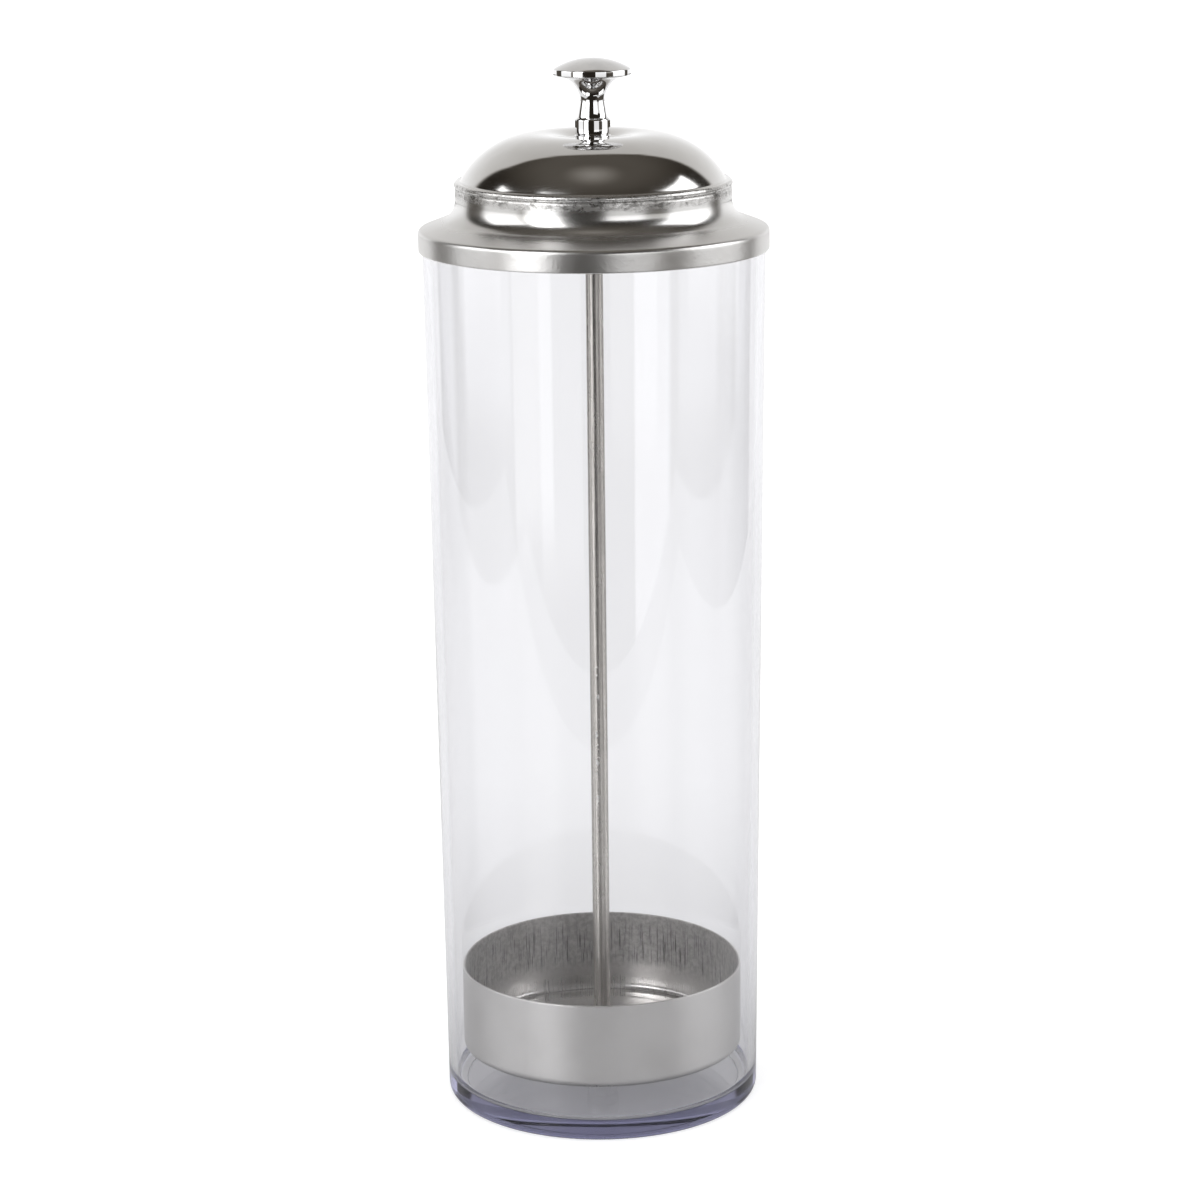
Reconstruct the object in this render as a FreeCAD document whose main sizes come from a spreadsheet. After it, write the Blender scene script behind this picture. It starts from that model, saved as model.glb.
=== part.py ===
import FreeCAD, Part
import math
import os
import Sketcher
from types import SimpleNamespace

# Lift-type straw dispenser: a clear plastic jar, and a carrier that lifts out of it by its knob.
# The carrier is the pressed steel lid, the knob, a plain rod down the middle and a shallow cup
# that holds the foot of the straws, all clamped together by nuts on the threaded ends of the rod.
# Millimetres, +Z up. The origin is the centre of the jar's foot, on the table.

os.makedirs("parts", exist_ok=True)
doc = FreeCAD.newDocument("straw_dispenser")
sheet = doc.addObject("Spreadsheet::Sheet", "sizes")


class Size:
    """A number in two forms: its value now, and the sheet formula that keeps the model live."""

    def __init__(self, value, formula):
        self.value = value
        self.formula = formula

    def joined(self, sign, other, value):
        right = other.formula if isinstance(other, Size) else str(other)
        return Size(value, f"({self.formula} {sign} {right})")

    def __add__(self, other):
        return self.joined("+", other, self.value + number(other))

    def __sub__(self, other):
        return self.joined("-", other, self.value - number(other))

    def __mul__(self, other):
        return self.joined("*", other, self.value * number(other))

    def __truediv__(self, other):
        return self.joined("/", other, self.value / number(other))


def number(item):
    return item.value if isinstance(item, Size) else item


def root(size):
    return Size(math.sqrt(size.value), f"sqrt({size.formula})")


def tangent(degrees):
    return Size(math.tan(math.radians(degrees.value)), f"tan({degrees.formula} * 1deg)")


def cosine(degrees):
    return Size(math.cos(math.radians(degrees.value)), f"cos({degrees.formula} * 1deg)")


ZERO = Size(0.0, "0")

# ---- driving dimensions, millimetres and degrees ------------------------------------------

SIZES = {
    "jar_height": 259.3,  # table to the top of the lip
    "jar_foot_radius": 46.25,  # outside, at the table
    "jar_mouth_radius": 48.95,  # outside, at the lip; the wall drafts out
    "jar_wall": 2.5,  # thickness of the wall, level
    "jar_floor": 5.5,  # table to the inside floor
    "jar_corner": 2.6,  # round between the wall and the foot
    "jar_floor_round": 3.0,  # round between the inside wall and floor
    "jar_lip_round": 0.8,  # round on both edges of the lip
    "foot_ring_width": 5.25,  # ring that the jar stands on, up to the wall's corner
    "foot_recess_depth": 0.8,  # hollow inside that ring
    "foot_recess_round": 0.35,  # rounds of the hollow's edge

    "lid_sheet": 0.8,  # thickness of the pressed lid
    "lid_band_gap": 0.25,  # clearance of the band round the jar's mouth
    "lid_band_corner": 5.96,  # band's lower edge to where the shoulder starts
    "lid_shoulder_slope": 21.0,  # degrees above level
    "lid_shoulder_width": 10.7,  # from the band in to the upright wall under the dome
    "lid_wall_height": 7.63,  # sharp corner at the shoulder to the bead's underside
    "lid_bend": 1.3,  # outside round between band and shoulder
    "lid_cove": 6.0,  # hollow round between shoulder and wall
    "lid_edge_round": 0.25,  # round on the cut edge of the band
    "lid_seat_gap": 0.05,  # clearance of the shoulder over the jar's lip
    "bead_height": 1.9,  # height of the bead round the dome's foot
    "bead_stand": 0.2,  # how far the bead stands out past the wall
    "bead_bulge": 0.55,  # how far the bead's section swells past its edges
    "crease_height": 0.4,  # height of the taper into the crease under the bead
    "dome_ledge": 1.16,  # ledge between the bead and the dome's foot
    "dome_height": 13.2,  # bead to the top of the dome
    "crown_radius": 15.6,  # radius of the ring where the dome is highest
    "dish_depth": 1.4,  # depth of the dished middle below the dome's top
    "dish_margin": 1.8,  # flat seat showing round the knob's ring
    "dish_round": 2.5,  # round at the edge of the flat seat
    "foot_round": 0.5,  # hollow round at the dome's foot

    "rod_radius": 2.5,  # five millimetre bar with M5 ends
    "rod_hole_gap": 0.15,  # clearance of the plain holes that the rod passes
    "rod_floor_gap": 3.1,  # clearance of the rod's lower end over the jar's floor
    "rod_end_show": 1.0,  # rod standing out below the lowest nut
    "rod_chamfer": 0.5,  # chamfer of both ends
    "thread_bite": 0.25,  # overlap that stands for an engaged thread

    "seat_ring_margin": 0.2,  # ring between knob and lid, showing past the knob's collar
    "seat_ring_height": 0.9,  # thickness of that ring
    "seat_ring_round": 0.2,  # round on its outer edges

    "collar_radius": 5.0,  # knob's straight collar
    "collar_height": 4.4,  # knob's foot to the top of the collar
    "collar_step": 0.7,  # step in from the collar to the neck
    "collar_chamfer": 0.25,  # small bevel at the collar's foot
    "neck_radius": 3.5,  # thinnest part of the neck
    "neck_height": 9.4,  # knob's foot to the start of the flare
    "flare_round": 7.2,  # hollow flare from the neck to the head
    "head_brim": 0.3,  # from the flare out to the head's upright edge
    "head_band": 1.85,  # height of the head's upright edge
    "head_crown": 3.1,  # rise of the head's rounded top
    "head_round": 0.35,  # rounds of the head's upright edge
    "knob_bore_grip": 9.0,  # length of rod inside the knob
    "knob_bore_spare": 1.0,  # tapped hole left over above the rod

    "cup_gap": 2.15,  # clearance in the jar at the level of its foot
    "cup_height": 25.5,  # outside
    "cup_sheet": 0.8,  # thickness of the drawn cup
    "cup_corner": 2.6,  # outside round at the foot
    "cup_rim_round": 0.3,  # rounds of the rim
    "plateau_margin": 10.1,  # from the cup's outside in to the raised middle of its floor
    "plateau_rise": 1.0,  # height of the raised middle
    "plateau_round": 0.4,  # rounds of its step

    "nut_flats": 8.0,  # M5 nut across its flats
    "nut_height": 4.0,  # M5 nut
    "nut_bevel": 0.45,  # fall of the bevel at the nut's corners
    "nut_turn": -21.0,  # degrees, where the nuts stopped
    "bore_bevel": 0.35,  # countersink of the nut's and knob's thread
    "washer_radius": 5.0,  # M5 flat washer
    "washer_height": 1.0,  # M5 flat washer
    "spring_radius": 4.6,  # M5 spring lock washer
    "spring_height": 1.2,  # M5 spring lock washer
    "spring_slit": 0.8,  # gap where the lock washer's ring is cut
    "slit_tilt": 25.0,  # degrees off upright
}

for row, (name, value) in enumerate(SIZES.items(), 1):
    sheet.set(f"A{row}", name)
    sheet.set(f"B{row}", str(value))
    sheet.setAlias(f"B{row}", name)

dim = SimpleNamespace(**{name: Size(value, f"sizes.{name}") for name, value in SIZES.items()})

# ---- sizes that follow --------------------------------------------------------------------

bore_radius = dim.rod_radius - dim.thread_bite
hole_radius = dim.rod_radius + dim.rod_hole_gap

# The lid and the cup take their widths from the jar.
lid_band_radius = dim.jar_mouth_radius + dim.lid_band_gap + dim.lid_sheet
lid_wall_radius = lid_band_radius - dim.lid_shoulder_width
cup_radius = dim.jar_foot_radius - dim.jar_wall - dim.cup_gap

seat_ring_radius = dim.collar_radius + dim.seat_ring_margin
head_radius = dim.neck_radius + dim.flare_round + dim.head_brim

# Heights on the lid, from the band's lower edge.
shoulder_rise = dim.lid_shoulder_width * tangent(dim.lid_shoulder_slope)
wall_foot = dim.lid_band_corner + shoulder_rise
bead_foot = wall_foot + dim.lid_wall_height
bead_top = bead_foot + dim.bead_height
crown_height = bead_top + dim.dome_height
dish_height = crown_height - dim.dish_depth

# The sloping underside of the lid's shoulder rests on the round of the jar's lip.
shoulder_drop = dim.lid_sheet / cosine(dim.lid_shoulder_slope)
lip_centre_radius = dim.jar_mouth_radius - dim.jar_lip_round
lip_reach = (dim.jar_lip_round + dim.lid_seat_gap) / cosine(dim.lid_shoulder_slope)
shoulder_over_lip = (lid_band_radius - lip_centre_radius) * tangent(dim.lid_shoulder_slope)
shoulder_there = dim.lid_band_corner - shoulder_drop + shoulder_over_lip
lid_lift = dim.jar_height - dim.jar_lip_round + lip_reach - shoulder_there

# The clamped stack at the knob, from the lid's seat outwards.
ring_lift = lid_lift + dish_height
knob_lift = ring_lift + dim.seat_ring_height
rod_top = knob_lift + dim.knob_bore_grip
top_washer_lift = ring_lift - dim.lid_sheet - dim.washer_height
top_spring_lift = top_washer_lift - dim.spring_height
top_nut_lift = top_spring_lift - dim.nut_height

# The clamped stack at the cup, from the rod's lower end up past the raised floor.
rod_bottom = dim.jar_floor + dim.rod_floor_gap
low_nut_lift = rod_bottom + dim.rod_end_show
low_spring_lift = low_nut_lift + dim.nut_height
low_washer_lift = low_spring_lift + dim.spring_height
cup_lift = low_washer_lift + dim.washer_height - dim.plateau_rise
floor_washer_lift = low_washer_lift + dim.washer_height + dim.cup_sheet
floor_nut_lift = floor_washer_lift + dim.washer_height

# ---- drawing helpers ----------------------------------------------------------------------


def pin(sketch, kind, geometry, end, size, name):
    """Hold one coordinate of a point at a size from the sheet, or on the axis where it is nought."""
    if size is ZERO:
        axis = -2 if kind == "DistanceX" else -1
        sketch.addConstraint(Sketcher.Constraint("PointOnObject", geometry, end, axis))
        return
    row = sketch.addConstraint(Sketcher.Constraint(kind, -1, 1, geometry, end, size.value))
    sketch.renameConstraint(row, name)
    sketch.setExpression(f"Constraints.{name}", size.formula)


def new_body(name):
    body = doc.addObject("PartDesign::Body", name)
    body.Label = name
    return body


def plane_of(body, role):
    return next(item for item in body.Origin.OriginFeatures if item.Role == role)


def turned(body, points, centres=None):
    """Revolve a closed half section: points are (radius, height), round the body's own Z axis.

    The run from point number n to the next is straight, or an arc where centres has an entry n,
    which gives the centre as (radius, height).
    """
    centres = centres or {}
    sketch = body.newObject("Sketcher::SketchObject", f"{body.Name}_section")
    sketch.AttachmentSupport = [(plane_of(body, "XZ_Plane"), "")]
    sketch.MapMode = "FlatFace"
    count = len(points)
    starts = []
    ends = []
    for index in range(count):
        here = points[index]
        there = points[(index + 1) % count]
        begin = FreeCAD.Vector(here[0].value, here[1].value, 0)
        finish = FreeCAD.Vector(there[0].value, there[1].value, 0)
        if index in centres:
            middle = FreeCAD.Vector(centres[index][0].value, centres[index][1].value, 0)
            anticlockwise = (begin - middle).cross(finish - middle).z > 0
            low, high = (begin, finish) if anticlockwise else (finish, begin)
            circle = Part.Circle(middle, FreeCAD.Vector(0, 0, 1), (begin - middle).Length)
            arc = Part.ArcOfCircle(circle, circle.parameter(low), circle.parameter(high))
            sketch.addGeometry(arc)
            starts.append(1 if anticlockwise else 2)
            ends.append(2 if anticlockwise else 1)
        else:
            sketch.addGeometry(Part.LineSegment(begin, finish))
            starts.append(1)
            ends.append(2)
    for index in range(count):
        following = (index + 1) % count
        joint = Sketcher.Constraint("Coincident", index, ends[index], following, starts[following])
        sketch.addConstraint(joint)
        pin(sketch, "DistanceX", index, starts[index], points[index][0], f"radius{index}")
        pin(sketch, "DistanceY", index, starts[index], points[index][1], f"height{index}")
        if index in centres:
            pin(sketch, "DistanceX", index, 3, centres[index][0], f"centre{index}")
    revolution = body.newObject("PartDesign::Revolution", f"{body.Name}_turned")
    revolution.Profile = sketch
    revolution.ReferenceAxis = (sketch, ["V_Axis"])
    revolution.Angle = 360
    body.Tip = revolution
    doc.recompute()


def rounded(body, radius, *corners):
    """Round the edges that run full circle through the given (radius, height) corners."""
    base = body.Tip
    names = []
    for corner in corners:
        for index, edge in enumerate(base.Shape.Edges, 1):
            if edge.Degenerated or not isinstance(edge.Curve, Part.Circle):
                continue
            off = abs(edge.Curve.Radius - corner[0].value) + abs(edge.Curve.Center.z - corner[1].value)
            if off < 0.002:
                names.append(f"Edge{index}")
    if len(names) != len(corners):
        raise ValueError(f"{body.Name}: {len(names)} edges found for {len(corners)} corners")
    fillet = body.newObject("PartDesign::Fillet", f"{body.Name}_round")
    fillet.Base = (base, names)
    fillet.setExpression("Radius", radius.formula)
    body.Tip = fillet
    doc.recompute()


def lifted(item, height):
    item.setExpression("Placement.Base.z", height.formula)
    return item


def copies(name, original, heights):
    """Identical loose pieces on the rod's axis, as one sub-part with a solid for each."""
    links = []
    for index, height in enumerate(heights, 1):
        link = doc.addObject("App::Link", f"{name}_{index}")
        link.LinkedObject = original
        links.append(lifted(link, height))
    group = doc.addObject("Part::Compound", name)
    group.Label = name
    group.Links = links
    return group


# ---- jar ----------------------------------------------------------------------------------


def make_jar():
    """One clear moulding: a drafted wall, a thick floor and a hollow foot."""
    draft = (dim.jar_mouth_radius - dim.jar_foot_radius) / dim.jar_height
    inner_foot = dim.jar_foot_radius - dim.jar_wall + draft * dim.jar_floor
    inner_mouth = dim.jar_mouth_radius - dim.jar_wall
    recess_radius = dim.jar_foot_radius - dim.foot_ring_width
    body = new_body("jar")
    turned(body, [
        (ZERO, dim.foot_recess_depth),
        (recess_radius, dim.foot_recess_depth),
        (recess_radius, ZERO),
        (dim.jar_foot_radius, ZERO),
        (dim.jar_mouth_radius, dim.jar_height),
        (inner_mouth, dim.jar_height),
        (inner_foot, dim.jar_floor),
        (ZERO, dim.jar_floor),
    ])
    rounded(body, dim.jar_corner, (dim.jar_foot_radius, ZERO))
    rounded(body, dim.jar_floor_round, (inner_foot, dim.jar_floor))
    lip = [(dim.jar_mouth_radius, dim.jar_height), (inner_mouth, dim.jar_height)]
    rounded(body, dim.jar_lip_round, *lip)
    hollow = (recess_radius, dim.foot_recess_depth)
    rounded(body, dim.foot_recess_round, hollow, (recess_radius, ZERO))
    return body


# ---- lid ----------------------------------------------------------------------------------


def make_lid():
    """One pressing: band, sloping shoulder, cove, upright wall, bead, dome and dished seat."""
    band_inside = lid_band_radius - dim.lid_sheet
    wall_inside = lid_wall_radius - dim.lid_sheet
    slope = tangent(dim.lid_shoulder_slope)
    band_inside_top = dim.lid_band_corner - shoulder_drop + dim.lid_sheet * slope
    wall_inside_foot = wall_foot - shoulder_drop + dim.lid_sheet * slope

    # The bead is an arc of its own; the sheet's inside stays smooth behind it.
    bead_half = dim.bead_height / 2
    bead_round = (bead_half * bead_half + dim.bead_bulge * dim.bead_bulge) / (dim.bead_bulge * 2)
    bead_centre = lid_wall_radius + dim.bead_stand - bead_round
    bead_edge = lid_wall_radius + dim.bead_stand - dim.bead_bulge

    # The dome's section is one arc from the ledge inside the bead to its level crown.
    dome_foot = bead_edge - dim.dome_ledge
    dome_reach = dome_foot - dim.crown_radius
    dome_arc = (dome_reach * dome_reach + dim.dome_height * dim.dome_height) / (dim.dome_height * 2)
    dome_centre = crown_height - dome_arc
    dome_inner_arc = dome_arc - dim.lid_sheet
    inner_above = bead_top - dim.lid_sheet - dome_centre
    inner_foot = dim.crown_radius + root(dome_inner_arc * dome_inner_arc - inner_above * inner_above)

    # The dish falls from the crown on a second arc, to the flat seat of the knob.
    dish_flat = seat_ring_radius + dim.dish_margin
    dish_reach = dim.crown_radius - dish_flat
    dish_arc = (dish_reach * dish_reach + dim.dish_depth * dim.dish_depth) / (dim.dish_depth * 2)
    dish_centre = crown_height - dish_arc
    dish_inner_arc = dish_arc - dim.lid_sheet
    seat_above = dish_height - dim.lid_sheet - dish_centre
    inner_flat = dim.crown_radius - root(dish_inner_arc * dish_inner_arc - seat_above * seat_above)

    body = new_body("lid")
    turned(body, [
        (band_inside, ZERO),
        (lid_band_radius, ZERO),
        (lid_band_radius, dim.lid_band_corner),
        (lid_wall_radius, wall_foot),
        (lid_wall_radius, bead_foot - dim.crease_height),
        (bead_edge, bead_foot),
        (bead_edge, bead_top),
        (dome_foot, bead_top),
        (dim.crown_radius, crown_height),
        (dish_flat, dish_height),
        (hole_radius, dish_height),
        (hole_radius, dish_height - dim.lid_sheet),
        (inner_flat, dish_height - dim.lid_sheet),
        (dim.crown_radius, crown_height - dim.lid_sheet),
        (inner_foot, bead_top - dim.lid_sheet),
        (wall_inside, bead_top - dim.lid_sheet),
        (wall_inside, wall_inside_foot),
        (band_inside, band_inside_top),
    ], {
        5: (bead_centre, bead_foot + bead_half),
        7: (dim.crown_radius, dome_centre),
        8: (dim.crown_radius, dish_centre),
        12: (dim.crown_radius, dish_centre),
        13: (dim.crown_radius, dome_centre),
    })
    rounded(body, dim.lid_cove, (lid_wall_radius, wall_foot))
    rounded(body, dim.lid_cove + dim.lid_sheet, (wall_inside, wall_inside_foot))
    rounded(body, dim.lid_bend, (lid_band_radius, dim.lid_band_corner))
    rounded(body, dim.lid_bend - dim.lid_sheet, (band_inside, band_inside_top))
    rounded(body, dim.dish_round, (dish_flat, dish_height), (inner_flat, dish_height - dim.lid_sheet))
    rounded(body, dim.foot_round, (dome_foot, bead_top), (inner_foot, bead_top - dim.lid_sheet))
    rounded(body, dim.lid_edge_round, (lid_band_radius, ZERO), (band_inside, ZERO))
    return lifted(body, lid_lift)


# ---- knob and the ring under it -----------------------------------------------------------


def make_seat_ring():
    """A thin polished ring that the knob bears on."""
    body = new_body("knob_seat_ring")
    turned(body, [
        (hole_radius, ZERO),
        (seat_ring_radius, ZERO),
        (seat_ring_radius, dim.seat_ring_height),
        (hole_radius, dim.seat_ring_height),
    ])
    upper = (seat_ring_radius, dim.seat_ring_height)
    rounded(body, dim.seat_ring_round, (seat_ring_radius, ZERO), upper)
    return lifted(body, ring_lift)


def make_knob():
    """A turned knob: straight collar, waisted neck, flared head with a rounded top, tapped below."""
    head_foot = dim.neck_height + dim.flare_round
    head_shoulder = head_foot + dim.head_band
    bore_depth = dim.knob_bore_grip + dim.knob_bore_spare
    head_top = head_shoulder + dim.head_crown
    head_square = head_radius * head_radius
    crown_arc = (head_square + dim.head_crown * dim.head_crown) / (dim.head_crown * 2)
    body = new_body("knob")
    turned(body, [
        (bore_radius + dim.bore_bevel, ZERO),
        (dim.collar_radius - dim.collar_chamfer, ZERO),
        (dim.collar_radius, dim.collar_chamfer),
        (dim.collar_radius, dim.collar_height),
        (dim.collar_radius - dim.collar_step, dim.collar_height + dim.collar_step / 2),
        (dim.neck_radius, dim.neck_height),
        (dim.neck_radius + dim.flare_round, head_foot),
        (head_radius, head_foot),
        (head_radius, head_shoulder),
        (ZERO, head_top),
        (ZERO, bore_depth),
        (bore_radius, bore_depth),
        (bore_radius, dim.bore_bevel),
    ], {
        5: (dim.neck_radius + dim.flare_round, dim.neck_height),
        8: (ZERO, head_top - crown_arc),
    })
    rounded(body, dim.head_round, (head_radius, head_foot), (head_radius, head_shoulder))
    return lifted(body, knob_lift)


# ---- rod ----------------------------------------------------------------------------------


def make_rod():
    """The plain bar that carries the cup."""
    length = rod_top - rod_bottom
    tip = dim.rod_radius - dim.rod_chamfer
    body = new_body("lift_rod")
    turned(body, [
        (ZERO, ZERO),
        (tip, ZERO),
        (dim.rod_radius, dim.rod_chamfer),
        (dim.rod_radius, length - dim.rod_chamfer),
        (tip, length),
        (ZERO, length),
    ])
    return lifted(body, rod_bottom)


# ---- cup ----------------------------------------------------------------------------------


def make_cup():
    """A shallow drawn cup with a raised middle, where the rod is clamped."""
    inside = cup_radius - dim.cup_sheet
    plateau_radius = cup_radius - dim.plateau_margin
    step_foot = plateau_radius + dim.plateau_rise
    # At a 45 degree step the upper skin sits this much further out, so the sheet stays even.
    skin_shift = dim.cup_sheet * math.tan(math.radians(22.5))
    plateau_top = dim.plateau_rise + dim.cup_sheet
    body = new_body("straw_cup")
    turned(body, [
        (hole_radius, dim.plateau_rise),
        (plateau_radius, dim.plateau_rise),
        (step_foot, ZERO),
        (cup_radius, ZERO),
        (cup_radius, dim.cup_height),
        (inside, dim.cup_height),
        (inside, dim.cup_sheet),
        (step_foot + skin_shift, dim.cup_sheet),
        (plateau_radius + skin_shift, plateau_top),
        (hole_radius, plateau_top),
    ])
    rounded(body, dim.cup_corner, (cup_radius, ZERO))
    rounded(body, dim.cup_corner - dim.cup_sheet, (inside, dim.cup_sheet))
    step = [
        (plateau_radius, dim.plateau_rise),
        (step_foot, ZERO),
        (step_foot + skin_shift, dim.cup_sheet),
        (plateau_radius + skin_shift, plateau_top),
    ]
    rounded(body, dim.plateau_round, *step)
    rounded(body, dim.cup_rim_round, (cup_radius, dim.cup_height), (inside, dim.cup_height))
    return lifted(body, cup_lift)


# ---- nuts and washers ---------------------------------------------------------------------


def make_nut():
    """One M5 hexagon nut: a bevelled turned blank, cut to six flats."""
    corner_radius = dim.nut_flats / 2 / math.cos(math.radians(30))
    bevel_run = dim.nut_bevel / math.tan(math.radians(30))
    blank = new_body("nut_blank")
    turned(blank, [
        (bore_radius + dim.bore_bevel, ZERO),
        (corner_radius - bevel_run, ZERO),
        (corner_radius, dim.nut_bevel),
        (corner_radius, dim.nut_height - dim.nut_bevel),
        (corner_radius - bevel_run, dim.nut_height),
        (bore_radius + dim.bore_bevel, dim.nut_height),
        (bore_radius, dim.nut_height - dim.bore_bevel),
        (bore_radius, dim.bore_bevel),
    ])
    prism = doc.addObject("Part::Prism", "nut_flats_prism")
    prism.Polygon = 6
    prism.setExpression("Circumradius", corner_radius.formula)
    prism.setExpression("Height", dim.nut_height.formula)
    # A nut stops where it is tight, so its flats line up with nothing else.
    prism.setExpression("Placement.Rotation.Angle", f"{dim.nut_turn.formula} * 1deg")
    nut = doc.addObject("Part::Common", "nut")
    nut.Base = blank
    nut.Tool = prism
    return nut


def make_washer():
    """One M5 flat washer."""
    washer = new_body("washer")
    turned(washer, [
        (hole_radius, ZERO),
        (dim.washer_radius, ZERO),
        (dim.washer_radius, dim.washer_height),
        (hole_radius, dim.washer_height),
    ])
    rounded(washer, dim.seat_ring_round, (dim.washer_radius, dim.washer_height))
    return washer


def make_spring_washer():
    """One M5 lock washer: a flattened ring with a slanting cut through one side."""
    ring = new_body("spring_ring")
    turned(ring, [
        (hole_radius, ZERO),
        (dim.spring_radius, ZERO),
        (dim.spring_radius, dim.spring_height),
        (hole_radius, dim.spring_height),
    ])
    cutter = doc.addObject("Part::Box", "spring_cutter")
    cutter.setExpression("Length", (dim.spring_radius * 2).formula)
    cutter.setExpression("Width", dim.spring_slit.formula)
    cutter.setExpression("Height", (dim.spring_height * 4).formula)
    cutter.Placement.Rotation = FreeCAD.Rotation(FreeCAD.Vector(1, 0, 0), dim.slit_tilt.value)
    cutter.setExpression("Placement.Rotation.Angle", f"{dim.slit_tilt.formula} * 1deg")
    cutter.setExpression("Placement.Base.z", (ZERO - dim.spring_height).formula)
    spring = doc.addObject("Part::Cut", "spring_washer")
    spring.Base = ring
    spring.Tool = cutter
    return spring


nut = make_nut()
washer = make_washer()
spring_washer = make_spring_washer()
doc.recompute()

sub_parts = [
    make_jar(),
    make_lid(),
    make_knob(),
    make_seat_ring(),
    make_rod(),
    make_cup(),
    copies("rod_nuts", nut, [top_nut_lift, floor_nut_lift, low_nut_lift]),
    copies("rod_washers", washer, [top_washer_lift, floor_washer_lift, low_washer_lift]),
    copies("rod_lock_washers", spring_washer, [top_spring_lift, low_spring_lift]),
]
doc.recompute()

# ---- checks and export --------------------------------------------------------------------

for item in doc.Objects:
    if "Invalid" in item.State or "Error" in item.State:
        raise RuntimeError(f"{item.Name} did not compute: {item.State}")
    if item.TypeId == "Sketcher::SketchObject" and not item.FullyConstrained:
        raise RuntimeError(f"{item.Name} is not fully constrained")

for part in sub_parts:
    if part.Shape.isNull() or not part.Shape.isValid():
        raise RuntimeError(f"{part.Label} has no valid shape")
    part.Shape.exportStep(f"parts/{part.Label}.step")
    box = part.Shape.BoundBox
    print(f"{part.Label:18s} solids {len(part.Shape.Solids)}  volume {part.Shape.Volume:10.1f}"
          f"  radius {box.XMax:7.3f}  z {box.ZMin:8.3f} to {box.ZMax:8.3f}")
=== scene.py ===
import bpy
import numpy as np
from mathutils import Matrix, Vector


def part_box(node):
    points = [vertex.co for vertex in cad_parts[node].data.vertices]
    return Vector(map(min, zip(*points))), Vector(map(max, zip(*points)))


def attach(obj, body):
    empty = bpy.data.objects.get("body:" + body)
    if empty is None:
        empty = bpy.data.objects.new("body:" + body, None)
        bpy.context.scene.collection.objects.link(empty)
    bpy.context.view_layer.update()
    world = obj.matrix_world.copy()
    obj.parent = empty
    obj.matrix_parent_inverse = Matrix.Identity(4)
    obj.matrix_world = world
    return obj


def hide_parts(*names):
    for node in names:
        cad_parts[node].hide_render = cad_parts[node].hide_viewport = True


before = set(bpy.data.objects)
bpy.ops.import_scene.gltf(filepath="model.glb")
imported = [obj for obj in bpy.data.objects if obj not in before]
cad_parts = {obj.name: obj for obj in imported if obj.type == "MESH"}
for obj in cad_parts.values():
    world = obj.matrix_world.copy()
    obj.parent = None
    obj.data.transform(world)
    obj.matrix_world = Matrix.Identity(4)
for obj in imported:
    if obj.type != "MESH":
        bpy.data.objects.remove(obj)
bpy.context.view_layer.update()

# ---- jar ----------------------------------------------------------------------------------
# The jar is one injection moulding in clear hard plastic. Its wall is drafted so that it leaves
# the mould, its floor is thick, and it stands on a ring round a shallow hollow foot.


def half_section(corners, steps=8, stride=6.0):
    """Path of a half section in millimetres, from rows of radius, height and corner round.

    A round corner becomes the arc that touches both its runs: the arc's middle lies on the
    bisector of the corner's angle, at round / sin(half the angle), and each touching point lies
    at round / tan(half the angle) from the corner. Long runs get extra points, one close to
    each end and one every stride, so that the flats shade flat right up to the rounds.
    """
    corners = np.asarray(corners, float)
    point = corners[:, :2]
    bend = corners[:, 2:3]
    back = np.roll(point, 1, 0) - point
    ahead = np.roll(point, -1, 0) - point
    back /= np.linalg.norm(back, axis=1, keepdims=True)
    ahead /= np.linalg.norm(ahead, axis=1, keepdims=True)
    half = np.arccos(np.clip((back * ahead).sum(1, keepdims=True), -1, 0.999999)) / 2
    sweep = np.maximum(np.pi - 2 * half, 1e-5)
    inward = back + ahead
    inward /= np.maximum(np.linalg.norm(inward, axis=1, keepdims=True), 1e-9)
    middle = point + inward * bend / np.sin(half)
    first = point + back * bend / np.tan(half) - middle
    last = point + ahead * bend / np.tan(half) - middle
    share = np.linspace(0, 1, steps)[:, None, None]
    arcs = middle + (np.sin((1 - share) * sweep) * first + np.sin(share * sweep) * last) / np.sin(sweep)
    path = arcs.transpose(1, 0, 2).reshape(-1, 2)
    gap = np.linalg.norm(np.diff(path, axis=0), axis=1)
    path = path[np.append(True, gap > 1e-6)]
    run = np.linalg.norm(np.diff(path, axis=0), axis=1)
    travel = np.append(0, np.cumsum(run))
    long = run > 1.5
    near_ends = np.append(travel[:-1][long] + 0.35, travel[1:][long] - 0.35)
    stops = np.sort(np.concatenate([travel, near_ends, np.arange(stride, travel[-1], stride)]))
    stops = stops[np.append(True, np.diff(stops) > 0.05)]
    return np.column_stack([np.interp(stops, travel, path[:, 0]), np.interp(stops, travel, path[:, 1])])


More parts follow.
